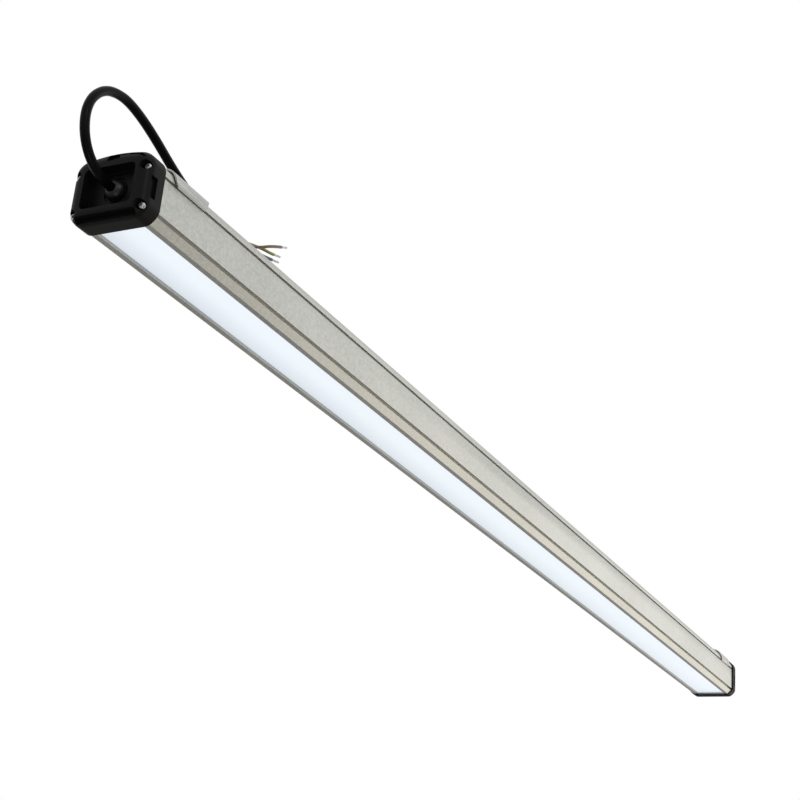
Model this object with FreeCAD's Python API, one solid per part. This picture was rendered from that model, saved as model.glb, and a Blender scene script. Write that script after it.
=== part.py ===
import FreeCAD, Part
import math
import os

from FreeCAD import Vector

os.makedirs("parts", exist_ok=True)

# Linear LED light. Millimetres, X along the length, Z up, the cable end at -X.
# The origin is under the middle, on the plane of the end caps' undersides.

# Overall sizes
overall_length = 1522.0
housing_width = 62.0
wall = 1.8

# End cap sizes
cap_depth = 20.0
cap_lap = 3.0
cap_rim = 1.5
cap_fit = 0.2
cap_crown_rise = 2.0
cap_corner_round = 9.0
front_round = 8.5
front_sections = 7
pocket_side = 9.6
pocket_bottom = 9.6
pocket_height = 31.0
pocket_depth = 9.0
pocket_round = 4.0
floor_ledge = 2.2
floor_step = 1.0
slot_side = 5.8
slot_bottom = 0.9
slot_height = 4.2
slot_depth = 6.7
slot_round = 1.0
notch_inset = 2.5
notch_bottom = 14.5
notch_height = 16.5
notch_from_front = 5.8
notch_depth = 6.7
top_slot_inset = 3.0
top_slot_width = 1.6
top_slot_depth = 4.0
top_slot_right = 30.0
top_slot_left = 4.0
top_slot_bottom = 44.0
top_notch_right = 6.5
top_notch_height = 5.2
cavity_depth = 2.5
cavity_round = 4.0

# Extrusion section
lip_bottom = cap_rim
lip_height = 2.7
lip_ledge = 4.8
chamfer = 6.0
flange_thickness = 1.2
port_radius = 1.35
port_wall = 1.2
port_inset = 2.7
port_rise = 6.2
port_pitch = 30.0
groove_low_width = 2.7
groove_high_width = 2.2
shoulder_gap = 0.2
shoulder_radius = 10.5
crown_rise = 0.5
web_height = 18.5
web_thickness = 2.0

# Diffuser
diffuser_thickness = 2.0
diffuser_grip = 2.8
slide_fit = 0.2
side_fit = 0.3

# Gaskets
gasket_thickness = 1.0
gasket_inset = 0.3
gasket_band = 8.0

# Cap screws
screw_head_radius = 2.9
screw_head_height = 2.4
screw_shank_radius = 1.3
screw_length = 16.0
screw_recess_radius = 3.6
screw_recess_depth = 6.4
screw_clearance = 0.4
socket_width = 2.5
socket_depth = 1.5

# Cable gland
gland_height = 26.0
gland_recess_gap = 1.4
gland_recess_depth = 1.0
gland_fit = 0.2
gland_flange_rim = 2.7
gland_flange_thickness = 1.5
gland_collar_wall = 1.0
gland_collar_length = 3.5
gland_thread_rise = 0.2
gland_nut_wall = 0.7
seal_wall = 1.1
seal_length = 3.0
locknut_width = 15.0
locknut_thickness = 2.8

# Supply cable and its cores
cable_diameter = 7.0
cable_inside = 0.9
core_diameter = 2.4
core_spread = 1.42
core_lead_out = 7.0
tip_diameter = 1.4
tip_length = 7.0

# Boards and light sources
board_count = 3
board_end_gap = 14.0
board_gap = 4.0
board_width = 36.0
board_thickness = 1.6
led_rows = 2
led_row_pitch = 18.0
led_pitch = 40.0
led_size = (3.5, 2.8, 0.8)
board_screws_per_board = 4
board_screw_y = 15.0
small_screw_radius = 1.25
small_head_radius = 2.75
small_head_height = 1.8
small_screw_fit = 0.1

# Driver
driver_start = 70.0
driver_length = 280.0
driver_width = 38.0
driver_height = 21.0
driver_round = 2.0
ear_length = 12.0
ear_width = 12.0
ear_thickness = 1.5
terminal_length = 8.0
terminal_height = 9.0
terminal_lift = 3.0
terminal_rim = 4.0
terminal_entry_depth = 4.0
entry_fit = 0.2
input_entries = [-8.0, 0.0]
output_entries = [12.0, 15.0]

# Wiring inside the housing
inner_core_offsets = {"brown": (-1.35, 1.0), "blue": (1.35, 1.0), "earth": (0.0, -1.6)}
inner_core_run = 12.0
inner_core_end = 14.0
earth_from_end = 39.0
earth_y = -14.0
earth_core_run = 9.5
earth_core_end = 9.0
lug_radius = 4.0
lug_thickness = 0.8
lug_neck = 1.0
barrel_radius = 1.9
barrel_length = 8.0
lead_diameter = 1.4
lead_spread = 4.0
lead_out = 9.0
lead_across = 8.0
lead_bow = 1.0
lead_dip = 2.5
lead_turn = 3.2
lead_in = 4.3
lead_hole_from_driver = 27.0
lead_hole_size = (14.0, 6.0)
connector_height = 4.0
inlet_length = 12.0
inlet_width = 5.0
inlet_inset = 2.0
link_length = 14.0
link_width = 8.0

# Mounting clips
clip_length = 48.0
clip_from_cap = 13.0
clip_sheet = 1.2
clip_side_gap = 0.2
clip_crown_gap = 2.2
clip_bend_radius = 12.3
clip_hook = 1.4
clip_corner_round = 6.0
clip_hole_diameter = 5.5

# Construction values: overrun of cuts, tolerance for picking edges, share of a run taken by a bend
over = 1.0
touch = 0.01
bend_share = 0.45

# Derived places
half_length = overall_length / 2
half_width = housing_width / 2
housing_end = half_length - cap_depth + cap_lap
lip_half_width = half_width - chamfer
window_half_width = lip_half_width - lip_ledge
lip_top = lip_bottom + lip_height
track_top = lip_top + diffuser_thickness + slide_fit
track_half_width = window_half_width + diffuser_grip + side_fit
flange_top = track_top + flange_thickness
port_y = half_width - port_inset
port_low_z = lip_bottom + port_rise
port_high_z = port_low_z + port_pitch
groove_top = port_high_z + groove_high_width / 2
shoulder_z = groove_top + shoulder_gap
crown_z = shoulder_z + shoulder_radius + crown_rise
cap_top = shoulder_z + shoulder_radius + cap_rim + cap_crown_rise
web_bottom = lip_bottom + web_height
web_top = web_bottom + web_thickness
front_x = -half_length
cap_inner_x = -housing_end - gasket_thickness
wall_back_x = cap_inner_x - cavity_depth
cable_radius = cable_diameter / 2
gland_bore = cable_radius + gland_fit
seal_outer = cable_radius + gland_fit / 2 + seal_wall
gland_collar_radius = seal_outer + gland_fit / 2 + gland_collar_wall
gland_thread_radius = gland_collar_radius + gland_thread_rise
gland_flange_radius = gland_collar_radius + gland_flange_rim
gland_recess_radius = gland_flange_radius + gland_recess_gap
floor_x = front_x + pocket_depth + floor_step
gland_seat_x = floor_x + gland_recess_depth
opening_half_width = half_width - gasket_band
opening_bottom = lip_bottom + gasket_band + lip_height
opening_top = crown_z - gasket_band
ports = [(side * port_y, z) for side in (-1, 1) for z in (port_low_z, port_high_z)]


# Helpers
def outline(grow, rise):
    """Closed outline of the body in the YZ plane, grown outwards, with an arched top."""
    half = half_width + grow
    bottom = lip_bottom - grow
    corner = grow * math.tan(math.pi / 8)
    flat = lip_half_width + corner
    side_z = lip_bottom + chamfer - corner
    bend = shoulder_radius + grow
    top = shoulder_z + bend + rise
    bend_y = half - bend
    crown_radius = (bend_y**2 + (bend + rise) ** 2 - bend**2) / (2 * rise)
    crown_centre = top - crown_radius
    angle = math.atan2(shoulder_z - crown_centre, bend_y)
    meet_y = crown_radius * math.cos(angle)
    meet_z = crown_centre + crown_radius * math.sin(angle)
    mid_y = bend_y + bend * math.cos(angle / 2)
    mid_z = shoulder_z + bend * math.sin(angle / 2)
    edges = [
        line((-flat, bottom), (flat, bottom)),
        line((flat, bottom), (half, side_z)),
        line((half, side_z), (half, shoulder_z)),
        arc((half, shoulder_z), (mid_y, mid_z), (meet_y, meet_z)),
        arc((meet_y, meet_z), (0, top), (-meet_y, meet_z)),
        arc((-meet_y, meet_z), (-mid_y, mid_z), (-half, shoulder_z)),
        line((-half, shoulder_z), (-half, side_z)),
        line((-half, side_z), (-flat, bottom)),
    ]
    return Part.Face(Part.Wire(edges))


def line(start, end):
    return Part.LineSegment(Vector(0, *start), Vector(0, *end)).toShape()


def arc(start, middle, end):
    return Part.Arc(Vector(0, *start), Vector(0, *middle), Vector(0, *end)).toShape()


def rectangle(y0, y1, z0, z1):
    corners = [(y0, z0), (y1, z0), (y1, z1), (y0, z1), (y0, z0)]
    return Part.Face(Part.makePolygon([Vector(0, y, z) for y, z in corners]))


def disc(radius, y, z):
    return Part.Face(Part.Wire(Part.makeCircle(radius, Vector(0, y, z), Vector(1, 0, 0))))


def prism(face, x0, x1):
    solid = face.extrude(Vector(x1 - x0, 0, 0))
    solid.translate(Vector(x0, 0, 0))
    return solid


def box(x0, x1, y0, y1, z0, z1):
    return Part.makeBox(x1 - x0, y1 - y0, z1 - z0, Vector(x0, y0, z0))


def rod_x(radius, x0, x1, y, z):
    return Part.makeCylinder(radius, x1 - x0, Vector(x0, y, z), Vector(1, 0, 0))


def rod_z(radius, z0, z1, x, y):
    return Part.makeCylinder(radius, z1 - z0, Vector(x, y, z0), Vector(0, 0, 1))


def turned(points):
    """Solid of revolution about the gland's axis, from points (x, radius)."""
    corners = [Vector(x, 0, gland_height + radius) for x, radius in points]
    face = Part.Face(Part.makePolygon(corners + corners[:1]))
    return face.revolve(Vector(0, 0, gland_height), Vector(1, 0, 0), 360)


def rounded_block(x0, x1, y0, y1, z0, z1, radius):
    """Block whose four edges along X are rounded."""
    block = box(x0, x1, y0, y1, z0, z1)
    return block.makeFillet(radius, edges_along(block, 0))


def edges_along(shape, axis):
    """Straight edges of a shape that run along one of the axes."""
    return [e for e in shape.Edges if abs(e.tangentAt(e.FirstParameter)[axis]) > 1 - touch]


def hexagon(width, x0, x1, y, z):
    corners = []
    for step in range(7):
        angle = math.radians(60 * step)
        reach = width / math.sqrt(3)
        corners.append(Vector(0, y + reach * math.cos(angle), z + reach * math.sin(angle)))
    return prism(Part.Face(Part.makePolygon(corners)), x0, x1)


def far_end(shape):
    """The same shape turned half round, at the other end of the light."""
    copy = shape.copy()
    copy.rotate(Vector(0, 0, 0), Vector(0, 0, 1), 180)
    return copy


def tube(name, points, diameter):
    """Round cord along straight runs joined by arcs as large as the runs allow."""
    edges = []
    start = points[0]
    radii = []
    for before, corner, after in zip(points, points[1:], points[2:]):
        back = before - corner
        ahead = after - corner
        trim = bend_share * min(back.Length, ahead.Length)
        back.normalize()
        ahead.normalize()
        half_turn = (math.pi - back.getAngle(ahead)) / 2
        radius = trim / math.tan(half_turn)
        inward = back + ahead
        inward.normalize()
        depth = radius / math.cos(half_turn) - radius
        arc_start = corner + back * trim
        arc_end = corner + ahead * trim
        edges.append(Part.LineSegment(start, arc_start).toShape())
        edges.append(Part.Arc(arc_start, corner + inward * depth, arc_end).toShape())
        start = arc_end
        radii.append(radius)
    edges.append(Part.LineSegment(start, points[-1]).toShape())
    path = Part.Wire(edges)
    ring = Part.makeCircle(diameter / 2, points[0], points[1] - points[0])
    solid = path.makePipeShell([Part.Wire(ring)], True, False)
    section = math.pi * diameter**2 / 4
    print(
        f"{name}: length {path.Length:.1f}, radii in diameters",
        [round(r / diameter, 1) for r in radii],
        f"volume ratio {solid.Volume / (section * path.Length):.4f}",
    )
    return solid


def save(name, *solids):
    shape = solids[0] if len(solids) == 1 else Part.makeCompound(list(solids))
    shape.exportStep(f"parts/{name}.step")


# Housing: one aluminium extrusion, with screw ports that open as grooves in its sides
def housing_section():
    inside = outline(-wall, crown_rise)
    upper = inside.common(rectangle(-half_width, half_width, web_top, crown_z))
    lower = inside.common(rectangle(-half_width, half_width, flange_top, web_bottom))
    port_walls = [disc(port_radius + port_wall, y, z) for y, z in ports]
    window = rectangle(-window_half_width, window_half_width, 0, flange_top)
    track = rectangle(-track_half_width, track_half_width, lip_top, track_top)
    section = outline(0, crown_rise).cut([upper.cut(port_walls), lower.cut(port_walls), window, track])
    for y, z in ports:
        width = groove_low_width if z == port_low_z else groove_high_width
        outer = math.copysign(half_width + over, y)
        groove = rectangle(min(y, outer), max(y, outer), z - width / 2, z + width / 2)
        section = section.cut([disc(port_radius, y, z), groove])
    return section.Faces[0]


board_run = 2 * (housing_end - board_end_gap) + board_gap
board_pitch = board_run / board_count
board_length = board_pitch - board_gap
board_starts = [(i - board_count / 2) * board_pitch + board_gap / 2 for i in range(board_count)]


def board_screw_places():
    """Screws in pairs of corners along each board, alternately on either side."""
    step = board_length / board_screws_per_board
    for start in board_starts:
        for i in range(board_screws_per_board):
            yield start + (i + 0.75) * step, board_screw_y * (-1) ** i


driver_x0 = -half_length + driver_start
driver_x1 = driver_x0 + driver_length
ear_y = (driver_width - ear_width) / 2
driver_screw_places = [(driver_x0 - ear_length / 2, ear_y), (driver_x1 + ear_length / 2, -ear_y)]
earth_place = (-housing_end + earth_from_end, earth_y)
lead_hole_x = driver_x1 + lead_hole_from_driver
lead_hole_y = (board_width / 2 + half_width - wall) / 2

housing = prism(housing_section(), -housing_end, housing_end)
web_holes = [
    rod_z(small_screw_radius + small_screw_fit, web_bottom - over, web_top + over, x, y)
    for x, y in [*board_screw_places(), *driver_screw_places, earth_place]
]
lead_hole = box(
    lead_hole_x - lead_hole_size[0] / 2,
    lead_hole_x + lead_hole_size[0] / 2,
    lead_hole_y - lead_hole_size[1] / 2,
    lead_hole_y + lead_hole_size[1] / 2,
    web_bottom - over,
    web_top + over,
)
save("housing", housing.cut(web_holes + [lead_hole]))

# Diffuser: an opal strip that rests on the lips
diffuser_half_width = track_half_width - side_fit
diffuser_face = rectangle(
    -diffuser_half_width, diffuser_half_width, lip_top, lip_top + diffuser_thickness
)
save("diffuser", prism(diffuser_face, -housing_end, housing_end))


# End caps: black mouldings with a skirt that laps over the extrusion and a full round at the front
def cap_section(inset, x0, x1):
    """Length of a cap's outline set in from its walls, with round lower corners."""
    grow = cap_rim - inset
    length = prism(outline(grow, cap_crown_rise), x0, x1)
    side_z = lip_bottom + chamfer - grow * math.tan(math.pi / 8)
    corners = [e for e in edges_along(length, 0) if e.Vertexes[0].Z < side_z + touch]
    return length.makeFillet(cap_corner_round - inset, corners)


def cap_body():
    """Body of a cap, lofted over the full round of its front."""
    wires = []
    for step in range(front_sections):
        angle = math.pi / 2 * step / (front_sections - 1)
        inset = front_round * (1 - math.sin(angle))
        x = front_x + front_round * (1 - math.cos(angle))
        length = cap_section(inset, x, x + over)
        wires.append(next(f.OuterWire for f in length.Faces if f.BoundBox.XMax < x + touch))
    front = Part.makeLoft(wires, True, False)
    return front.fuse(cap_section(0, front_x + front_round, front_x + cap_depth))


def top_slot():
    """Curved slot along the arched top of a cap's front, wider where a notch opens it."""
    depth_x = front_x + top_slot_depth
    outer = prism(outline(cap_rim - top_slot_inset, cap_crown_rise), front_x - over, depth_x)
    slots = []
    for width, right in ((top_slot_width, top_slot_right), (top_notch_height, top_notch_right)):
        inset = cap_rim - top_slot_inset - width
        inner = prism(outline(inset, cap_crown_rise), front_x - over, depth_x)
        reach = box(front_x - over, depth_x, -right, top_slot_left, top_slot_bottom, cap_top)
        slots.append(outer.cut(inner).common(reach))
    return slots


def cap(with_gland):
    skirt = prism(outline(cap_fit, crown_rise), cap_inner_x, front_x + cap_depth)
    pocket_half_width = half_width - pocket_side
    slot_half_width = half_width - slot_side
    pocket_top = pocket_bottom + pocket_height
    pocket = rounded_block(
        front_x - over,
        front_x + pocket_depth,
        -pocket_half_width,
        pocket_half_width,
        pocket_bottom,
        pocket_top,
        pocket_round,
    )
    floor = rounded_block(
        front_x,
        floor_x,
        -pocket_half_width + floor_ledge,
        pocket_half_width - floor_ledge,
        pocket_bottom + floor_ledge,
        pocket_top - floor_ledge,
        pocket_round - floor_ledge,
    )
    cavity = rounded_block(
        wall_back_x,
        cap_inner_x + over,
        -opening_half_width,
        opening_half_width,
        opening_bottom,
        opening_top,
        cavity_round,
    )
    slot = rounded_block(
        front_x - over,
        front_x + slot_depth,
        -slot_half_width,
        slot_half_width,
        slot_bottom,
        slot_bottom + slot_height,
        slot_round,
    )
    cuts = [skirt, pocket, floor, cavity, slot, *top_slot()]
    notch_x = front_x + notch_from_front
    for side in (-1, 1):
        inner = side * (half_width + cap_rim - notch_inset)
        outer = side * (half_width + cap_rim + over)
        cuts.append(
            box(
                notch_x,
                notch_x + notch_depth,
                min(inner, outer),
                max(inner, outer),
                notch_bottom,
                notch_bottom + notch_height,
            )
        )
    for y, z in ports:
        cuts.append(rod_x(screw_recess_radius, front_x - over, front_x + screw_recess_depth, y, z))
        cuts.append(rod_x(screw_shank_radius + screw_clearance, front_x, cap_inner_x + over, y, z))
    if with_gland:
        cuts.append(rod_x(gland_recess_radius, front_x, gland_seat_x, 0, gland_height))
        cuts.append(rod_x(gland_thread_radius + gland_fit, front_x, cap_inner_x, 0, gland_height))
    return cap_body().cut(cuts).Solids[0]


save("end_cap_cable", cap(True))
save("end_cap_blank", far_end(cap(False)))

# Gaskets: silicone frames between the caps and the ends of the extrusion
gasket_face = outline(-gasket_inset, crown_rise).cut(
    [
        rectangle(-opening_half_width, opening_half_width, opening_bottom, opening_top),
    ]
    + [disc(screw_shank_radius + screw_clearance, y, z) for y, z in ports]
)
gasket = prism(gasket_face.Faces[0], cap_inner_x, -housing_end)
save("cap_gasket_cable", gasket)
save("cap_gasket_blank", far_end(gasket))


# Cap screws: pan heads with hexagon sockets, driven into the screw ports
def cap_screw(y, z):
    seat_x = front_x + screw_recess_depth
    head_x = seat_x - screw_head_height
    head = rod_x(screw_head_radius, head_x, seat_x, y, z)
    crown = [e for e in head.Edges if all(abs(v.X - head_x) < touch for v in e.Vertexes)]
    head = head.makeFillet(screw_head_height / 2, crown)
    shank = rod_x(screw_shank_radius, seat_x, seat_x + screw_length, y, z)
    return head.fuse(shank).cut(hexagon(socket_width, head_x - over, head_x + socket_depth, y, z)).Solids[0]


cap_screws = [cap_screw(y, z) for y, z in ports]
save("cap_screws_cable", *cap_screws)
save("cap_screws_blank", *[far_end(screw) for screw in cap_screws])

# Cable gland: flanged body through the cap, rubber seal, domed nut and locknut
flange_x = gland_seat_x - gland_flange_thickness
collar_x = flange_x - gland_collar_length
locknut_x = wall_back_x + locknut_thickness
nut_tip_radius = gland_bore + gland_nut_wall
nut_tip_x = gland_seat_x - math.sqrt(gland_flange_radius**2 - nut_tip_radius**2)
nut_inner_x = collar_x - gland_fit
seal_seat_x = collar_x + seal_length
seal_x = seal_seat_x - gland_fit
save(
    "gland_body",
    turned(
        [
            (collar_x, seal_outer + gland_fit / 2),
            (collar_x, gland_collar_radius),
            (flange_x, gland_collar_radius),
            (flange_x, gland_flange_radius),
            (gland_seat_x, gland_flange_radius),
            (gland_seat_x, gland_thread_radius),
            (locknut_x, gland_thread_radius),
            (locknut_x, gland_bore),
            (seal_seat_x, gland_bore),
            (seal_seat_x, seal_outer + gland_fit / 2),
        ]
    ),
)
save(
    "gland_seal",
    turned(
        [
            (collar_x, cable_radius + gland_fit / 2),
            (collar_x, seal_outer),
            (seal_x, seal_outer),
            (seal_x, cable_radius + gland_fit / 2),
        ]
    ),
)
nut_blank = turned(
    [
        (flange_x, gland_collar_radius + gland_fit),
        (flange_x, gland_flange_radius),
        (nut_tip_x, gland_flange_radius),
        (nut_tip_x, gland_bore),
        (nut_inner_x, gland_bore),
        (nut_inner_x, gland_collar_radius + gland_fit),
    ]
)
dome = Part.makeSphere(gland_flange_radius, Vector(gland_seat_x, 0, gland_height))
save("gland_nut", nut_blank.common(dome).Solids[0])
locknut = hexagon(locknut_width, wall_back_x, locknut_x, 0, gland_height)
locknut_bore = gland_thread_radius + gland_fit / 2
locknut_hole = rod_x(locknut_bore, wall_back_x - over, locknut_x + over, 0, gland_height)
save("gland_locknut", locknut.cut(locknut_hole))

# Supply cable: out of the gland, round in a loop over the cap and down onto the crown
# Points of the loop from where the gland's axis meets the cap's front, as (along, up)
cable_loop = [
    (-5.0, 0.0),
    (-20.4, 7.3),
    (-30.4, 19.7),
    (-34.3, 35.1),
    (-31.6, 50.8),
    (-22.3, 64.1),
    (-8.2, 72.2),
    (7.9, 73.6),
    (36.0, 65.0),
]
# Points of the end that lies down, from the cap's front at the cable's resting height
cable_lay = [
    (77.0, 0.0, 22.1),
    (105.0, -1.5, 10.2),
    (126.0, -4.5, 2.7),
    (143.0, -8.0, 0.3),
]
cable_start = wall_back_x - cable_inside
cable_rest = crown_z + cable_radius
cable_route = [Vector(cable_start, 0, gland_height)]
cable_route += [Vector(front_x + x, 0, gland_height + z) for x, z in cable_loop]
cable_route += [Vector(front_x + x, y, cable_rest + z) for x, y, z in cable_lay]
save("supply_cable", tube("supply_cable", cable_route, cable_diameter))

# Stripped cores: they leave the sheath together, side by side, and fan out over the crown
# Points of each core after it has left the sheath, from the middle of the sheath's end
core_fans = {
    "brown": [(17.0, -2.2, 3.0), (28.0, -5.0, 8.2), (40.0, -9.5, 14.4), (50.5, -12.5, 17.8)],
    "earth": [(16.0, -6.0, 3.7), (28.0, -8.5, 5.5), (38.5, -9.3, 8.1), (46.0, -10.0, 9.8)],
    "blue": [(18.0, -7.2, -0.3), (27.5, -10.3, 0.5), (38.0, -13.0, 1.1)],
}
core_angles = {"brown": -30, "earth": 90, "blue": 210}
cable_end = cable_route[-1]
cable_way = (cable_end - cable_route[-2]).normalize()
end_side = Vector(0, 0, 1).cross(cable_way).normalize()
end_up = cable_way.cross(end_side)
core_tips = []
for colour, fan in core_fans.items():
    angle = math.radians(core_angles[colour])
    offset = end_side * math.cos(angle) + end_up * math.sin(angle)
    start = cable_end + offset * core_spread
    route = [start, start + cable_way * core_lead_out] + [cable_end + Vector(*p) for p in fan]
    save(f"core_{colour}", tube(f"core_{colour}", route, core_diameter))
    core_tips.append(Part.makeCylinder(tip_diameter / 2, tip_length, route[-1], route[-1] - route[-2]))
save("core_tips", *core_tips)

# Driver: a folded case on the web, held at two ears, with a terminal at each end
driver_half = driver_width / 2
driver_top = web_top + driver_height
case = rounded_block(driver_x0, driver_x1, -driver_half, driver_half, web_top, driver_top, driver_round)
ears = [
    box(
        x - ear_length / 2,
        x + ear_length / 2,
        y - ear_width / 2,
        y + ear_width / 2,
        web_top,
        web_top + ear_thickness,
    )
    for x, y in driver_screw_places
]
ear_holes = [
    rod_z(small_screw_radius + small_screw_fit, web_top - over, web_top + ear_thickness + over, x, y)
    for x, y in driver_screw_places
]
save("driver", case.fuse(ears).cut(ear_holes).removeSplitter().Solids[0])


def small_screw(seat_z, way, reach, x, y):
    """Pan head screw on a flat seat, its head on the side that way points to."""
    head_ends = sorted((seat_z, seat_z + way * small_head_height))
    shank_ends = sorted((seat_z, seat_z - way * reach))
    head = rod_z(small_head_radius, *head_ends, x, y)
    return head.fuse(rod_z(small_screw_radius, *shank_ends, x, y)).removeSplitter().Solids[0]


ear_top = web_top + ear_thickness
driver_reach = ear_thickness + web_thickness
save("driver_screws", *[small_screw(ear_top, 1, driver_reach, x, y) for x, y in driver_screw_places])

terminal_z = web_top + terminal_lift
terminal_top = terminal_z + terminal_height
entry_z = terminal_z + terminal_height / 2
input_x = driver_x0 - terminal_length
input_y = (input_entries[0] - terminal_rim, input_entries[-1] + terminal_rim)
input_radius = core_diameter / 2 + entry_fit
input_end = input_x + terminal_entry_depth
input_block = box(input_x, driver_x0, *input_y, terminal_z, terminal_top)
input_holes = [rod_x(input_radius, input_x - over, input_end, y, entry_z) for y in input_entries]
save("driver_input", input_block.cut(input_holes))

output_x = driver_x1 + terminal_length
output_y = (output_entries[0] - terminal_rim, output_entries[-1] + terminal_rim)
output_radius = lead_diameter / 2 + entry_fit
output_end = output_x - terminal_entry_depth
output_block = box(driver_x1, output_x, *output_y, terminal_z, terminal_top)
output_holes = [rod_x(output_radius, output_end, output_x + over, y, entry_z) for y in output_entries]
save("driver_output", output_block.cut(output_holes))

# Cores inside the housing: live and neutral to the driver, earth to a lug on the web
lug_z = web_top + lug_thickness
barrel_z = web_top + barrel_radius
barrel_end = earth_place[0] - lug_radius - lug_neck
barrel_start = barrel_end - barrel_length
inner_ends = {
    "brown": (inner_core_run, inner_core_end, Vector(input_end, input_entries[0], entry_z)),
    "blue": (inner_core_run, inner_core_end, Vector(input_end, input_entries[-1], entry_z)),
    "earth": (earth_core_run, earth_core_end, Vector(barrel_start, earth_y, barrel_z)),
}
for colour, (first_run, last_run, end) in inner_ends.items():
    y, rise = inner_core_offsets[colour]
    start = Vector(cable_start, y, gland_height + rise)
    route = [start, start + Vector(first_run, 0, 0), end - Vector(last_run, 0, 0), end]
    save(f"inner_core_{colour}", tube(f"inner_core_{colour}", route, core_diameter))

lug_ring = rod_z(lug_radius, web_top, lug_z, *earth_place)
lug_sides = (earth_y - barrel_radius, earth_y + barrel_radius)
lug_tongue = box(barrel_start, earth_place[0], *lug_sides, web_top, lug_z)
lug_barrel = rod_x(barrel_radius, barrel_start, barrel_end, earth_y, barrel_z)
lug_hole = rod_z(small_screw_radius + small_screw_fit, web_top - over, lug_z + over, *earth_place)
save("earth_lug", lug_ring.fuse([lug_tongue, lug_barrel]).cut(lug_hole).removeSplitter().Solids[0])
save("earth_screw", small_screw(lug_z, 1, lug_thickness + web_thickness, *earth_place))

# Boards: three aluminium strips under the web, each with two rows of light sources
board_bottom = web_bottom - board_thickness
led_first = (board_length % led_pitch + led_pitch) / 2
leds_per_row = int(board_length // led_pitch)
screw_places = list(board_screw_places())
for number, start in enumerate(board_starts, 1):
    board = box(start, start + board_length, -board_width / 2, board_width / 2, board_bottom, web_bottom)
    holes = [
        rod_z(small_screw_radius + small_screw_fit, board_bottom - over, web_bottom + over, x, y)
        for x, y in screw_places
        if start < x < start + board_length
    ]
    save(f"led_board_{number}", board.cut(holes))
    leds = []
    for row in range(led_rows):
        y = (row - (led_rows - 1) / 2) * led_row_pitch
        for i in range(leds_per_row):
            x = start + led_first + i * led_pitch
            leds.append(
                box(
                    x - led_size[0] / 2,
                    x + led_size[0] / 2,
                    y - led_size[1] / 2,
                    y + led_size[1] / 2,
                    board_bottom - led_size[2],
                    board_bottom,
                )
            )
    save(f"led_packages_{number}", *leds)

board_reach = board_thickness + web_thickness
save("board_screws", *[small_screw(board_bottom, -1, board_reach, x, y) for x, y in screw_places])

# Connectors on the boards: the inlet beside the lead hole, and a link across each gap
connector_bottom = board_bottom - connector_height
inlet_face = board_width / 2 - inlet_inset
inlet_x = (lead_hole_x - inlet_length / 2, lead_hole_x + inlet_length / 2)
connectors = [box(*inlet_x, inlet_face - inlet_width, inlet_face, connector_bottom, board_bottom)]
for start in board_starts[1:]:
    gap_x = start - board_gap / 2
    link_x = (gap_x - link_length / 2, gap_x + link_length / 2)
    connectors.append(box(*link_x, -link_width / 2, link_width / 2, connector_bottom, board_bottom))
save("board_connectors", *connectors)

# Leads from the driver through the web to the inlet: out, across, down and back under the board
lead_z = (connector_bottom + board_bottom) / 2
leads = []
for y, side in zip(output_entries, (0.5, -0.5)):
    x = lead_hole_x + side * lead_spread
    route = [
        Vector(output_end, y, entry_z),
        Vector(output_end + lead_out, y, entry_z),
        Vector(x - lead_across, (y + lead_hole_y) / 2 + lead_bow, entry_z),
        Vector(x, lead_hole_y, entry_z - lead_dip),
        Vector(x, lead_hole_y, lead_z + lead_turn),
        Vector(x, inlet_face + lead_in, lead_z),
        Vector(x, inlet_face, lead_z),
    ]
    leads.append(tube("led_lead", route, lead_diameter))
save("led_leads", *leads)


# Mounting clips: sheet steel bent over the crown, hooked under the top of the upper grooves
def clip_outline(grow):
    """Inverted U of the clip's sheet, grown outwards from its inner face."""
    side = half_width + clip_side_gap + grow
    bend = clip_bend_radius + grow
    top = crown_z + clip_crown_gap + grow
    bend_z = top - bend
    bend_y = side - bend
    low = groove_top - clip_sheet
    turn_y = bend_y + bend * math.cos(math.pi / 4)
    turn_z = bend_z + bend * math.sin(math.pi / 4)
    edges = [
        line((-side, low), (side, low)),
        line((side, low), (side, bend_z)),
        arc((side, bend_z), (turn_y, turn_z), (bend_y, top)),
        line((bend_y, top), (-bend_y, top)),
        arc((-bend_y, top), (-turn_y, turn_z), (-side, bend_z)),
        line((-side, bend_z), (-side, low)),
    ]
    return Part.Face(Part.Wire(edges))


def clip(x0):
    low = groove_top - clip_sheet
    outer_y = half_width + clip_side_gap + clip_sheet
    hook_y = half_width - clip_hook
    strip = clip_outline(clip_sheet).cut(clip_outline(0))
    strip = strip.fuse(
        [rectangle(hook_y, outer_y, low, groove_top), rectangle(-outer_y, -hook_y, low, groove_top)]
    )
    bent = prism(strip.removeSplitter().Faces[0], x0, x0 + clip_length)
    clip_top = crown_z + clip_crown_gap + clip_sheet
    frame = box(x0, x0 + clip_length, -outer_y, outer_y, low, clip_top + clip_corner_round)
    feet = [e for e in edges_along(frame, 1) if abs(e.Vertexes[0].Z - low) < touch]
    frame = frame.makeFillet(clip_corner_round, feet)
    hole = rod_z(clip_hole_diameter / 2, crown_z, clip_top + over, x0 + clip_length / 2, 0)
    return bent.common(frame).cut(hole).Solids[0]


cap_edge = half_length - cap_depth
save("clip_near", clip(-cap_edge + clip_from_cap))
save("clip_far", clip(cap_edge - clip_from_cap - clip_length))
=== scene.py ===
import bpy
import math
from mathutils import Matrix, Vector


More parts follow.
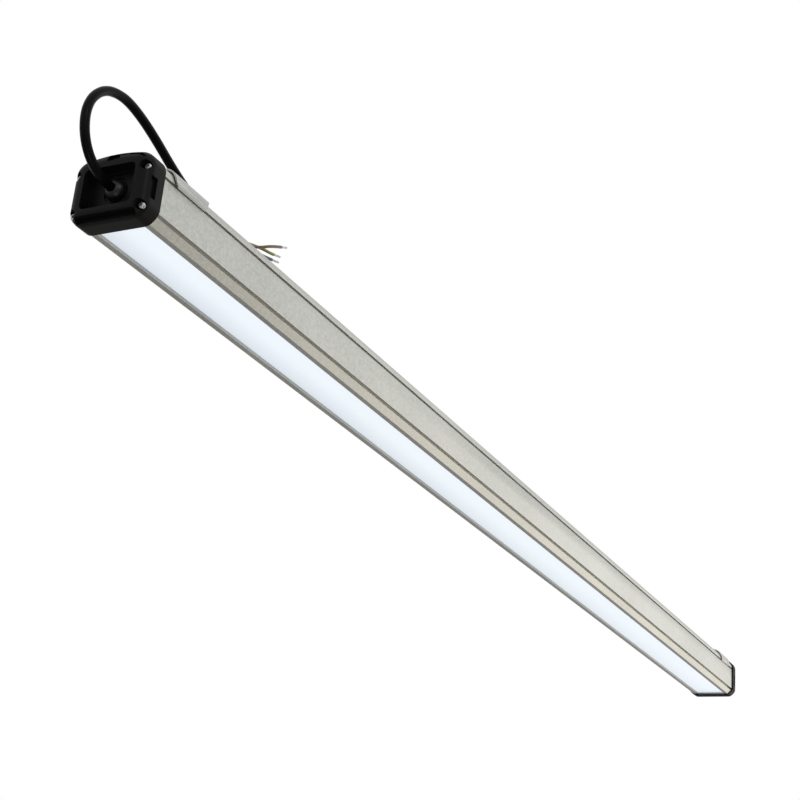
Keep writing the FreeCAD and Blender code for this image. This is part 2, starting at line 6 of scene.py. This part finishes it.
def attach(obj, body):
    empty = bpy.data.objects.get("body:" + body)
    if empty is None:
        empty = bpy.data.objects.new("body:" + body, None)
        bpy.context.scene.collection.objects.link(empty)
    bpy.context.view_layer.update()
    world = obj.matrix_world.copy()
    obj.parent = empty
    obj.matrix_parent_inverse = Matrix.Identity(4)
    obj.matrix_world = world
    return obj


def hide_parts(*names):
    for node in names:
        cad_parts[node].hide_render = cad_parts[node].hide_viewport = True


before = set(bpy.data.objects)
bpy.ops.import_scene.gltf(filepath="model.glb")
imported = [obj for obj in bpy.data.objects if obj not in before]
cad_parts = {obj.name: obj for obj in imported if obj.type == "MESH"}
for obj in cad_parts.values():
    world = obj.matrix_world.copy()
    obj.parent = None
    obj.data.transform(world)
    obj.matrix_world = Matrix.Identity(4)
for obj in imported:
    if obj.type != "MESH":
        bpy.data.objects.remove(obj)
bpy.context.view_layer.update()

# Housing: one long extrusion that carries everything, drawn in aluminium.
# It is blasted and anodised in its natural grey, so it shows a fine speckle;
# the blasting doesn't reach into the side grooves, so their speckle is calmer,
# and their grey is painted lighter, as painted light against the shade inside them.
anodised_grey = (0.425, 0.425, 0.4)
# Painted light: the insides of the grooves get a lighter grey than the faces, to lift the shade
# there.
groove_painted_light_grey = (0.56, 0.55, 0.51)
side_speckle = 1.1
groove_speckle = 0.2
groove_mouth_y = 0.0308
grooves_middle_z = 0.0226
grooves_half_height = 0.0162
side_curve_low_z = 0.024
side_curve_high_z = 0.0366
side_curve_depth = 0.0018


def surface_grain_group():
    """Speckle and slow cloudiness of a surface, as colour, roughness and height."""
    group = bpy.data.node_groups.new("surface_grain", "ShaderNodeTree")
    for name, kind in (
        ("Colour", "NodeSocketColor"),
        ("Variation", "NodeSocketFloat"),
        ("Roughness Low", "NodeSocketFloat"),
        ("Roughness High", "NodeSocketFloat"),
        ("Grain", "NodeSocketFloat"),
        ("Along", "NodeSocketFloat"),
    ):
        group.interface.new_socket(name, in_out="INPUT", socket_type=kind)
    for name, kind in (
        ("Colour", "NodeSocketColor"),
        ("Roughness", "NodeSocketFloat"),
        ("Height", "NodeSocketFloat"),
    ):
        group.interface.new_socket(name, in_out="OUTPUT", socket_type=kind)
    nodes, links = group.nodes, group.links
    given = nodes.new("NodeGroupInput")
    result = nodes.new("NodeGroupOutput")
    place = nodes.new("ShaderNodeTexCoord")
    stretch = nodes.new("ShaderNodeCombineXYZ")
    stretch.inputs["Y"].default_value = 1.0
    stretch.inputs["Z"].default_value = 1.0
    links.new(given.outputs["Along"], stretch.inputs["X"])
    drawn = nodes.new("ShaderNodeVectorMath")
    drawn.operation = "MULTIPLY"
    links.new(place.outputs["Object"], drawn.inputs[0])
    links.new(stretch.outputs["Vector"], drawn.inputs[1])
    speckle = nodes.new("ShaderNodeTexNoise")
    speckle.inputs["Detail"].default_value = 3.0
    speckle.inputs["Roughness"].default_value = 0.6
    links.new(drawn.outputs["Vector"], speckle.inputs["Vector"])
    links.new(given.outputs["Grain"], speckle.inputs["Scale"])
    cloud = nodes.new("ShaderNodeTexNoise")
    cloud.inputs["Scale"].default_value = 9.0
    cloud.inputs["Detail"].default_value = 2.0
    links.new(place.outputs["Object"], cloud.inputs["Vector"])
    blend = nodes.new("ShaderNodeMix")
    blend.inputs["Factor"].default_value = 0.35
    links.new(speckle.outputs["Fac"], blend.inputs["A"])
    links.new(cloud.outputs["Fac"], blend.inputs["B"])
    # The colour swings round its own value: 1 + variation * (noise - 0.5)
    offset = nodes.new("ShaderNodeMath")
    offset.operation = "MULTIPLY_ADD"
    offset.inputs[1].default_value = -0.5
    offset.inputs[2].default_value = 1.0
    links.new(given.outputs["Variation"], offset.inputs[0])
    swing = nodes.new("ShaderNodeMath")
    swing.operation = "MULTIPLY_ADD"
    links.new(blend.outputs["Result"], swing.inputs[0])
    links.new(given.outputs["Variation"], swing.inputs[1])
    links.new(offset.outputs["Value"], swing.inputs[2])
    tint = nodes.new("ShaderNodeMix")
    tint.data_type = "RGBA"
    tint.blend_type = "MULTIPLY"
    tint.inputs["Factor"].default_value = 1.0
    links.new(given.outputs["Colour"], tint.inputs["A"])
    links.new(swing.outputs["Value"], tint.inputs["B"])
    links.new(tint.outputs["Result"], result.inputs["Colour"])
    rough = nodes.new("ShaderNodeMapRange")
    rough.inputs["From Min"].default_value = 0.3
    rough.inputs["From Max"].default_value = 0.7
    links.new(blend.outputs["Result"], rough.inputs["Value"])
    links.new(given.outputs["Roughness Low"], rough.inputs["To Min"])
    links.new(given.outputs["Roughness High"], rough.inputs["To Max"])
    links.new(rough.outputs["Result"], result.inputs["Roughness"])
    links.new(speckle.outputs["Fac"], result.inputs["Height"])
    return group


surface_grain = surface_grain_group()


def grained(
    name,
    colour,
    rough,
    grain,
    variation=0.1,
    along=1.0,
    metallic=0.0,
    specular=0.5,
    relief=0.00002,
):
    """Material whose colour, roughness and relief follow the surface grain."""
    material = bpy.data.materials.new(name)
    material.use_nodes = True
    nodes, links = material.node_tree.nodes, material.node_tree.links
    shader = nodes["Principled BSDF"]
    shader.inputs["Metallic"].default_value = metallic
    shader.inputs["Specular IOR Level"].default_value = specular
    surface = nodes.new("ShaderNodeGroup")
    surface.name = "surface_grain"
    surface.node_tree = surface_grain
    surface.inputs["Colour"].default_value = (*colour, 1.0)
    surface.inputs["Variation"].default_value = variation
    surface.inputs["Roughness Low"].default_value = rough[0]
    surface.inputs["Roughness High"].default_value = rough[1]
    surface.inputs["Grain"].default_value = grain
    surface.inputs["Along"].default_value = along
    bump = nodes.new("ShaderNodeBump")
    bump.name = "grain_relief"
    bump.inputs["Strength"].default_value = 0.5
    bump.inputs["Distance"].default_value = relief
    links.new(surface.outputs["Colour"], shader.inputs["Base Color"])
    links.new(surface.outputs["Roughness"], shader.inputs["Roughness"])
    links.new(surface.outputs["Height"], bump.inputs["Height"])
    links.new(bump.outputs["Normal"], shader.inputs["Normal"])
    return material


def dress(material, *names):
    """Give CAD nodes a finish, in place of the plain one that they come with."""
    for name in names:
        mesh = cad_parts[name].data
        mesh.materials.clear()
        mesh.materials.append(material)


anodised = grained(
    "anodised_aluminium",
    colour=anodised_grey,
    rough=(0.36, 0.46),
    grain=500.0,
    variation=side_speckle,
    along=0.8,
    metallic=1.0,
    relief=0.00006,
)
nodes, links = anodised.node_tree.nodes, anodised.node_tree.links
surface = nodes["surface_grain"]
place = nodes.new("ShaderNodeTexCoord")
across = nodes.new("ShaderNodeSeparateXYZ")
links.new(place.outputs["Object"], across.inputs["Vector"])
# Inside a groove: behind the side faces, and between the lower and the upper groove's edges
depth = nodes.new("ShaderNodeMath")
depth.operation = "ABSOLUTE"
links.new(across.outputs["Y"], depth.inputs[0])
sunk = nodes.new("ShaderNodeMath")
sunk.operation = "LESS_THAN"
sunk.inputs[1].default_value = groove_mouth_y
links.new(depth.outputs["Value"], sunk.inputs[0])
between = nodes.new("ShaderNodeMath")
between.operation = "COMPARE"
between.inputs[1].default_value = grooves_middle_z
between.inputs[2].default_value = grooves_half_height
links.new(across.outputs["Z"], between.inputs[0])
in_groove = nodes.new("ShaderNodeMath")
in_groove.operation = "MULTIPLY"
links.new(sunk.outputs["Value"], in_groove.inputs[0])
links.new(between.outputs["Value"], in_groove.inputs[1])
# Painted light: faces in the anodised grey, groove insides in the lighter painted grey.
skin_and_groove_light = nodes.new("ShaderNodeMix")
skin_and_groove_light.data_type = "RGBA"
skin_and_groove_light.inputs["A"].default_value = (*anodised_grey, 1.0)
skin_and_groove_light.inputs["B"].default_value = (*groove_painted_light_grey, 1.0)
links.new(in_groove.outputs["Value"], skin_and_groove_light.inputs["Factor"])
links.new(skin_and_groove_light.outputs["Result"], surface.inputs["Colour"])
calm = nodes.new("ShaderNodeMapRange")
calm.inputs["To Min"].default_value = side_speckle
calm.inputs["To Max"].default_value = groove_speckle
links.new(in_groove.outputs["Value"], calm.inputs["Value"])
links.new(calm.outputs["Result"], surface.inputs["Variation"])
# The sides are drawn with a slight inward curve towards the upper groove
rise = nodes.new("ShaderNodeMapRange")
rise.inputs["From Min"].default_value = side_curve_low_z
rise.inputs["From Max"].default_value = side_curve_high_z
links.new(across.outputs["Z"], rise.inputs["Value"])
curve = nodes.new("ShaderNodeMath")
curve.operation = "POWER"
curve.inputs[1].default_value = 2.0
links.new(rise.outputs["Result"], curve.inputs[0])
curved_side = nodes.new("ShaderNodeBump")
curved_side.invert = True
curved_side.inputs["Distance"].default_value = side_curve_depth
links.new(curve.outputs["Value"], curved_side.inputs["Height"])
links.new(curved_side.outputs["Normal"], nodes["grain_relief"].inputs["Normal"])
dress(anodised, "housing")

# Light boards: strips of aluminium under the web with a white lacquer, held by
# small screws, with two rows of yellow-topped light sources and white sockets.
board_lacquer = grained(
    "board_lacquer", colour=(0.82, 0.82, 0.8), rough=(0.3, 0.42), grain=600.0, variation=0.05
)
dress(board_lacquer, "led_board_1", "led_board_2", "led_board_3")
phosphor = grained(
    "phosphor", colour=(0.85, 0.68, 0.16), rough=(0.2, 0.35), grain=2500.0, variation=0.12
)
dress(phosphor, "led_packages_1", "led_packages_2", "led_packages_3")
white_plastic = grained(
    "white_plastic", colour=(0.78, 0.78, 0.75), rough=(0.4, 0.55), grain=1800.0, variation=0.06
)
dress(white_plastic, "board_connectors")
bright_steel = grained(
    "bright_steel",
    colour=(0.36, 0.37, 0.39),
    rough=(0.2, 0.32),
    grain=2200.0,
    variation=0.1,
    metallic=1.0,
)
dress(bright_steel, "board_screws")

# Driver: a lacquered sheet case on top of the web, screwed down at two ears,
# with a white terminal at each end and leads down to the first board.
case_lacquer = grained(
    "case_lacquer", colour=(0.74, 0.75, 0.75), rough=(0.35, 0.5), grain=900.0, variation=0.06
)
dress(case_lacquer, "driver")
dress(white_plastic, "driver_input", "driver_output", "led_leads")
dress(bright_steel, "driver_screws")

# Wiring inside: brown and blue to the driver's terminal, and the two-coloured
# earth to a tinned lug under a screw on the web. The cores have a smooth
# plastic insulation.
stripe_start = 0.55


def insulation(name, colour, stripe=None):
    """Smooth plastic over a core, plain or with a stripe that runs along it."""
    material = grained(
        name, colour=colour, rough=(0.28, 0.4), grain=1600.0, variation=0.12, relief=0.00001
    )
    if stripe is None:
        return material
    nodes, links = material.node_tree.nodes, material.node_tree.links
    place = nodes.new("ShaderNodeUVMap")
    around = nodes.new("ShaderNodeSeparateXYZ")
    links.new(place.outputs["UV"], around.inputs["Vector"])
    on_stripe = nodes.new("ShaderNodeMath")
    on_stripe.operation = "GREATER_THAN"
    on_stripe.inputs[1].default_value = stripe_start
    links.new(around.outputs["Y"], on_stripe.inputs[0])
    pair = nodes.new("ShaderNodeMix")
    pair.data_type = "RGBA"
    pair.inputs["A"].default_value = (*colour, 1.0)
    pair.inputs["B"].default_value = (*stripe, 1.0)
    links.new(on_stripe.outputs["Value"], pair.inputs["Factor"])
    links.new(pair.outputs["Result"], nodes["surface_grain"].inputs["Colour"])
    return material


brown_insulation = insulation("brown_insulation", (0.13, 0.065, 0.03))
blue_insulation = insulation("blue_insulation", (0.05, 0.1, 0.16))
earth_insulation = insulation("earth_insulation", (0.36, 0.33, 0.06), stripe=(0.12, 0.21, 0.04))
dress(brown_insulation, "inner_core_brown")
dress(blue_insulation, "inner_core_blue")
dress(earth_insulation, "inner_core_earth")
tinned = grained(
    "tinned_copper",
    colour=(0.5, 0.5, 0.49),
    rough=(0.25, 0.4),
    grain=2600.0,
    variation=0.2,
    metallic=1.0,
)
dress(tinned, "earth_lug")
dress(bright_steel, "earth_screw")

# Diffuser: a strip extruded in a milky plastic, which slides in above the lips.
# It glows with painted shade in its glow colour: darker towards its edge on the
# side that is turned away from the camera, and less than half as much at the far end.
glow_colour = (0.6, 0.655, 0.71)
# Painted shade: a darker glow colour for the edge that is turned away.
painted_shade_glow_colour = (0.465, 0.515, 0.57)
edge_shade_from_y = -0.006
edge_shade_to_y = 0.02
lit_half_length = 0.75
far_end_shade = 0.45
glow_cloudiness = 0.12
opal = bpy.data.materials.new("opal_diffuser")
opal.use_nodes = True
nodes, links = opal.node_tree.nodes, opal.node_tree.links
shader = nodes["Principled BSDF"]
shader.inputs["Roughness"].default_value = 0.5
shader.inputs["Emission Strength"].default_value = 1.0
place = nodes.new("ShaderNodeTexCoord")
across = nodes.new("ShaderNodeSeparateXYZ")
links.new(place.outputs["Object"], across.inputs["Vector"])
edge = nodes.new("ShaderNodeMapRange")
edge.interpolation_type = "SMOOTHSTEP"
edge.inputs["From Min"].default_value = edge_shade_from_y
edge.inputs["From Max"].default_value = edge_shade_to_y
links.new(across.outputs["Y"], edge.inputs["Value"])
fade = nodes.new("ShaderNodeMapRange")
fade.inputs["From Min"].default_value = -lit_half_length
fade.inputs["From Max"].default_value = lit_half_length
fade.inputs["To Min"].default_value = 1.0
fade.inputs["To Max"].default_value = far_end_shade
links.new(across.outputs["X"], fade.inputs["Value"])
shade = nodes.new("ShaderNodeMath")
shade.operation = "MULTIPLY"
links.new(edge.outputs["Result"], shade.inputs[0])
links.new(fade.outputs["Result"], shade.inputs[1])
cloud = nodes.new("ShaderNodeTexNoise")
cloud.inputs["Scale"].default_value = 6.0
links.new(place.outputs["Object"], cloud.inputs["Vector"])
soften = nodes.new("ShaderNodeMath")
soften.operation = "MULTIPLY_ADD"
soften.inputs[1].default_value = glow_cloudiness
links.new(cloud.outputs["Fac"], soften.inputs[0])
links.new(shade.outputs["Value"], soften.inputs[2])
# Painted shade: the glow's colour is darkened towards the turned-away edge, less so towards the
# far end, with a little random cloudiness.
glow_with_painted_shade = nodes.new("ShaderNodeMix")
glow_with_painted_shade.data_type = "RGBA"
glow_with_painted_shade.inputs["A"].default_value = (*glow_colour, 1.0)
glow_with_painted_shade.inputs["B"].default_value = (*painted_shade_glow_colour, 1.0)
links.new(soften.outputs["Value"], glow_with_painted_shade.inputs["Factor"])
links.new(glow_with_painted_shade.outputs["Result"], shader.inputs["Emission Color"])
milky = nodes.new("ShaderNodeMix")
milky.data_type = "RGBA"
milky.inputs["A"].default_value = (0.5, 0.52, 0.54, 1.0)
milky.inputs["B"].default_value = (0.46, 0.48, 0.5, 1.0)
links.new(cloud.outputs["Fac"], milky.inputs["Factor"])
links.new(milky.outputs["Result"], shader.inputs["Base Color"])
dress(opal, "diffuser")

# Gaskets: frames cut from grey silicone sheet, pressed between the caps and
# the ends of the extrusion to keep dust and water out.
silicone = grained(
    "silicone", colour=(0.3, 0.3, 0.3), rough=(0.6, 0.75), grain=1200.0, variation=0.1
)
dress(silicone, "cap_gasket_cable", "cap_gasket_blank")

# End caps: black mouldings with a satin spark-eroded skin, lapped over the
# ends of the extrusion and drawn up by a screw at each corner. The skin's
# fine pits keep it from shining when it is seen at a low angle.
cap_gloss = 0.075
cap_gloss_low_angle = 0.012
black_moulding = grained(
    "black_moulding",
    colour=(0.005, 0.005, 0.005),
    rough=(0.34, 0.48),
    grain=2400.0,
    variation=0.35,
    specular=cap_gloss,
    relief=0.00003,
)
nodes, links = black_moulding.node_tree.nodes, black_moulding.node_tree.links
slant = nodes.new("ShaderNodeLayerWeight")
dulled = nodes.new("ShaderNodeMapRange")
dulled.inputs["From Min"].default_value = 0.58
dulled.inputs["From Max"].default_value = 0.78
dulled.inputs["To Min"].default_value = cap_gloss
dulled.inputs["To Max"].default_value = cap_gloss_low_angle
links.new(slant.outputs["Facing"], dulled.inputs["Value"])
links.new(dulled.outputs["Result"], nodes["Principled BSDF"].inputs["Specular IOR Level"])
dress(black_moulding, "end_cap_cable", "end_cap_blank")

# Cap screws: bright steel pan heads with hexagon sockets, sunk in round
# recesses and driven into the screw ports of the extrusion.
dress(bright_steel, "cap_screws_cable", "cap_screws_blank")

# Cable gland: black nylon body and domed nut over a rubber seal, with a
# locknut on the inside of the cap's wall.
black_nylon = grained(
    "black_nylon",
    colour=(0.004, 0.0042, 0.0046),
    rough=(0.34, 0.46),
    grain=1900.0,
    variation=0.3,
    specular=0.34,
)
dress(black_nylon, "gland_body", "gland_nut", "gland_locknut")
dress(silicone, "gland_seal")

# Supply cable: a round black sheath that leaves the gland, turns back in an
# open loop above the cap and lies down on the crown of the housing.
cable_diameter = 0.007
cable_route = [
    (-0.7484, 0.0, 0.026),
    (-0.766, 0.0, 0.026),
    (-0.7819, 0.0, 0.0329),
    (-0.7919, 0.0, 0.0452),
    (-0.7957, 0.0, 0.0614),
    (-0.7923, 0.0, 0.0761),
    (-0.7819, 0.0, 0.0884),
    (-0.7688, 0.0, 0.0946),
    (-0.7522, 0.0, 0.0963),
    (-0.7259, 0.0, 0.0897),
    (-0.6853, 0.0, 0.0722),
    (-0.656, -0.0015, 0.0637),
    (-0.635, -0.0045, 0.0562),
    (-0.618, -0.008, 0.0538),
]


def cord_curve(name, route, diameter, material):
    """Round cord on one smooth spline with its route's points as control points."""
    data = bpy.data.curves.new(name, "CURVE")
    data.dimensions = "3D"
    spline = data.splines.new("NURBS")
    spline.points.add(len(route) - 1)
    for point, place in zip(spline.points, route):
        point.co = (*place, 1.0)
    spline.order_u = 3
    spline.use_endpoint_u = True
    spline.resolution_u = 12
    data.bevel_depth = diameter / 2
    data.bevel_resolution = 6
    data.use_fill_caps = True
    data.materials.append(material)
    cord = bpy.data.objects.new(name, data)
    bpy.context.scene.collection.objects.link(cord)
    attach(cord, "root")
    return cord


def spline_length(cord):
    """Length of a cord's own line, read from its curve without the bevel."""
    bare = cord.data.copy()
    bare.bevel_depth = 0.0
    line = bpy.data.objects.new("line", bare)
    mesh = bpy.data.meshes.new_from_object(line)
    total = 0.0
    for piece in mesh.edges:
        start, end = (mesh.vertices[i].co for i in piece.vertices)
        total += (start - end).length
    bpy.data.objects.remove(line)
    bpy.data.meshes.remove(mesh)
    bpy.data.curves.remove(bare)
    return total


sheath = grained(
    "cable_sheath",
    colour=(0.002, 0.002, 0.0022),
    rough=(0.28, 0.38),
    grain=1300.0,
    variation=0.3,
    specular=0.06,
)
cable = cord_curve("cable", cable_route, cable_diameter, sheath)
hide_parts("supply_cable")

# Stripped cores: brown, earth and blue fan out from the end of the sheath,
# each with a few millimetres of twisted, tinned strands laid bare at its tip.
core_diameter = 0.0024
core_routes = {
    "brown": [
        (-0.6179, -0.0068, 0.0531),
        (-0.6111, -0.0081, 0.0521),
        (-0.6043, -0.0124, 0.0571),
        (-0.5941, -0.0153, 0.0597),
        (-0.5815, -0.0194, 0.0669),
        (-0.5683, -0.0193, 0.0726),
    ],
    "earth": [
        (-0.6178, -0.008, 0.0552),
        (-0.6103, -0.0092, 0.058),
        (-0.5995, -0.0117, 0.0605),
        (-0.5871, -0.0144, 0.0625),
        (-0.5774, -0.0162, 0.063),
        (-0.5734, -0.0165, 0.0639),
    ],
    "blue": [
        (-0.6183, -0.0092, 0.0531),
        (-0.6115, -0.0106, 0.0521),
        (-0.6013, -0.0155, 0.0539),
        (-0.5913, -0.0188, 0.0533),
        (-0.5799, -0.0198, 0.0556),
    ],
}
core_finishes = {"brown": brown_insulation, "earth": earth_insulation, "blue": blue_insulation}
tip_length = 0.0085
tip_radius = 0.0009
strand_radius = 0.0003
outer_strands = 6
strand_twist = math.radians(150)


def join_selected(pieces, name):
    """Join mesh objects into one that bears the given name."""
    bpy.ops.object.select_all(action="DESELECT")
    for piece in pieces:
        piece.select_set(True)
    bpy.context.view_layer.objects.active = pieces[0]
    bpy.ops.object.join()
    joined = bpy.context.object
    joined.name = name
    return joined


def strand_bundle(name):
    """Twisted strands along +Z from the origin, six round one in the middle."""
    bpy.ops.object.select_all(action="DESELECT")
    reach = tip_radius - strand_radius
    turns = [2 * math.pi * number / outer_strands for number in range(outer_strands)]
    places = [(reach * math.cos(turn), reach * math.sin(turn)) for turn in turns]
    strands = []
    for x, y in places + [(0.0, 0.0)]:
        bpy.ops.mesh.primitive_cylinder_add(
            vertices=10,
            radius=strand_radius,
            depth=tip_length,
            location=(x, y, tip_length / 2),
        )
        strands.append(bpy.context.object)
    bundle = join_selected(strands, name)
    bpy.ops.object.transform_apply(location=True, rotation=True, scale=True)
    bpy.ops.object.mode_set(mode="EDIT")
    bpy.ops.mesh.select_all(action="DESELECT")
    bpy.ops.object.mode_set(mode="OBJECT")
    for side in bundle.data.edges:
        low, high = (bundle.data.vertices[i].co.z for i in side.vertices)
        side.select = abs(high - low) > tip_length / 2
    bpy.ops.object.mode_set(mode="EDIT")
    bpy.ops.mesh.subdivide(number_cuts=12)
    bpy.ops.object.mode_set(mode="OBJECT")
    twist = bundle.modifiers.new("twist", "SIMPLE_DEFORM")
    twist.deform_method = "TWIST"
    twist.deform_axis = "Z"
    twist.angle = strand_twist
    bpy.ops.object.modifier_apply(modifier="twist")
    bpy.ops.object.shade_smooth_by_angle(angle=math.radians(50))
    return bundle


tips = []
for colour, route in core_routes.items():
    end, before = Vector(route[-1]), Vector(route[-2])
    bundle = strand_bundle(f"strands_{colour}")
    turn = Vector((0, 0, 1)).rotation_difference(end - before).to_matrix().to_4x4()
    bundle.data.transform(Matrix.Translation(end) @ turn)
    bundle.data.materials.append(tinned)
    tips.append(bundle)
bare_strands = join_selected(tips, "bare_strands")
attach(bare_strands, "root")
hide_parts("core_tips")

spline_length(cable)
for colour, route in core_routes.items():
    core = cord_curve(f"core_{colour}_insulation", route, core_diameter, core_finishes[colour])
    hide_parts(f"core_{colour}")
    spline_length(core)

# Mounting clips: bright sheet steel bent over the crown and hooked under the
# shoulders, each with one hole for the screw that holds the light up. The
# legs run back at one end, and the bend to the hook has no sharp outer edge.
# Y and Z of the bend's outer face at about 45 degrees, and the way on down the leg from there
bend_place = (0.0278, 0.0506)
bend_way = (0.75, -0.66)
cut_at_bend = 0.0018
leg_taper = 0.7
housing_side_y = 0.031
# Way in Y and Z that the slanted outer edge of the hook's bend faces
hook_edge_way = (1.6, -1.4)
clip_steel = grained(
    "clip_steel",
    colour=(0.42, 0.42, 0.405),
    rough=(0.38, 0.5),
    grain=900.0,
    variation=0.14,
    along=8.0,
    metallic=1.0,
    relief=0.00002,
)
dress(clip_steel, "clip_near", "clip_far")


def cut_off(place, way):
    """Cut the mesh in edit mode at a place, and take off all that lies on in that way."""
    bpy.ops.mesh.select_all(action="SELECT")
    bpy.ops.mesh.bisect(plane_co=place, plane_no=way, use_fill=True, clear_outer=True)


def tapered_clip(name, node):
    """Copy of a CAD clip with its legs and the outer edges of its hooks cut to shape."""
    bpy.ops.object.select_all(action="DESELECT")
    clip = bpy.data.objects.new(name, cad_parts[node].data.copy())
    bpy.context.scene.collection.objects.link(clip)
    clip.select_set(True)
    bpy.context.view_layer.objects.active = clip
    end = max(v.co.x for v in clip.data.vertices)
    low = min(v.co.z for v in clip.data.vertices)
    bpy.ops.object.mode_set(mode="EDIT")
    bpy.ops.mesh.select_all(action="SELECT")
    bpy.ops.mesh.remove_doubles(threshold=0.00001)
    for side in (-1, 1):
        cut_off(
            place=(end - cut_at_bend, side * bend_place[0], bend_place[1]),
            way=(1.0, side * leg_taper * bend_way[0], leg_taper * bend_way[1]),
        )
        cut_off(
            place=(end, side * housing_side_y, low),
            way=(0.0, side * hook_edge_way[0], hook_edge_way[1]),
        )
    bpy.ops.mesh.select_all(action="SELECT")
    bpy.ops.mesh.normals_make_consistent(inside=False)
    bpy.ops.object.mode_set(mode="OBJECT")
    bpy.ops.object.shade_smooth_by_angle(angle=math.radians(30))
    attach(clip, "root")
    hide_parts(node)


tapered_clip("bent_clip_near", "clip_near")
tapered_clip("bent_clip_far", "clip_far")

# Studio: a pale floor well below the hung light, clear when it is seen from
# below, a white surround, and soft lamps on the side that the photograph
# shows.
floor_radius = 22.0
floor_z = -2.6
surround_light = 0.6
bpy.ops.object.select_all(action="DESELECT")
bpy.ops.mesh.primitive_circle_add(
    vertices=128, radius=floor_radius, fill_type="NGON", location=(0, 0, floor_z)
)
floor = bpy.context.object
floor.name = "floor"
pale = grained(
    "pale_floor", colour=(0.62, 0.6, 0.58), rough=(0.7, 0.8), grain=40.0, variation=0.02
)
nodes, links = pale.node_tree.nodes, pale.node_tree.links
side = nodes.new("ShaderNodeNewGeometry")
clear = nodes.new("ShaderNodeBsdfTransparent")
one_way = nodes.new("ShaderNodeMixShader")
links.new(side.outputs["Backfacing"], one_way.inputs["Fac"])
links.new(nodes["Principled BSDF"].outputs["BSDF"], one_way.inputs[1])
links.new(clear.outputs["BSDF"], one_way.inputs[2])
links.new(one_way.outputs["Shader"], nodes["Material Output"].inputs["Surface"])
floor.data.materials.append(pale)

world = bpy.data.worlds.new("studio")
bpy.context.scene.world = world
world.use_nodes = True
nodes, links = world.node_tree.nodes, world.node_tree.links
nodes.clear()
seen = nodes.new("ShaderNodeLightPath")
shown = nodes.new("ShaderNodeMath")
shown.operation = "MAXIMUM"
links.new(seen.outputs["Is Camera Ray"], shown.inputs[0])
links.new(seen.outputs["Is Glossy Ray"], shown.inputs[1])
shown_through = nodes.new("ShaderNodeMath")
shown_through.operation = "MAXIMUM"
links.new(shown.outputs["Value"], shown_through.inputs[0])
links.new(seen.outputs["Is Transmission Ray"], shown_through.inputs[1])
strength = nodes.new("ShaderNodeMapRange")
strength.inputs["To Min"].default_value = surround_light
strength.inputs["To Max"].default_value = 1.0
links.new(shown_through.outputs["Value"], strength.inputs["Value"])
sky = nodes.new("ShaderNodeBackground")
sky.inputs["Color"].default_value = (1.0, 1.0, 1.0, 1.0)
links.new(strength.outputs["Result"], sky.inputs["Strength"])
world_out = nodes.new("ShaderNodeOutputWorld")
links.new(sky.outputs["Background"], world_out.inputs["Surface"])


def soft_lamp(name, place, target, size, energy, colour):
    """Wide soft lamp that faces its target."""
    data = bpy.data.lights.new(name, "AREA")
    data.shape = "RECTANGLE"
    data.size, data.size_y = size
    data.energy = energy
    data.color = colour
    lamp = bpy.data.objects.new(name, data)
    lamp.location = place
    facing = Vector(target) - Vector(place)
    lamp.rotation_euler = facing.to_track_quat("-Z", "Y").to_euler()
    bpy.context.scene.collection.objects.link(lamp)


cable_end_cap = (-0.76, 0.0, 0.03)
soft_lamp(
    "upper_lamp",
    place=(6.8, -3.9, 1.8),
    target=(0.0, 0.0, 0.0),
    size=(4.6, 2.5),
    energy=37.0,
    colour=(1.0, 0.99, 0.92),
)
soft_lamp(
    "lower_lamp",
    place=(2.7, -1.25, -1.1),
    target=(0.0, -0.2, 0.0),
    size=(2.4, 1.9),
    energy=22.0,
    colour=(1.0, 0.95, 0.86),
)
soft_lamp(
    "crown_lamp",
    place=(3.4, -1.7, 2.7),
    target=(-0.45, 0.0, 0.0),
    size=(1.4, 1.2),
    energy=3.5,
    colour=(1.0, 1.0, 0.96),
)
soft_lamp(
    "front_lamp",
    place=(-1.93, -1.87, 1.33),
    target=cable_end_cap,
    size=(0.5, 0.5),
    energy=8.0,
    colour=(0.94, 0.97, 1.0),
)
soft_lamp(
    "fill_lamp",
    place=(-1.95, -0.95, -1.9),
    target=cable_end_cap,
    size=(0.6, 0.6),
    energy=7.0,
    colour=(1.0, 1.0, 1.0),
)

# Camera: below and beside the cable end, looking up along the light. Its
# place, turn and lens were fitted to the straight edges in the photograph.
camera_data = bpy.data.cameras.new("camera")
camera_data.lens = 69.78
camera_data.sensor_width = 36.0
camera_data.clip_end = 50.0
camera = bpy.data.objects.new("camera", camera_data)
camera.location = (-1.48475, -0.62807, -0.48481)
camera.rotation_euler = (1.952519, -0.087878, -1.114974)
bpy.context.scene.collection.objects.link(camera)
bpy.context.scene.camera = camera
bpy.context.scene.view_settings.view_transform = "Standard"
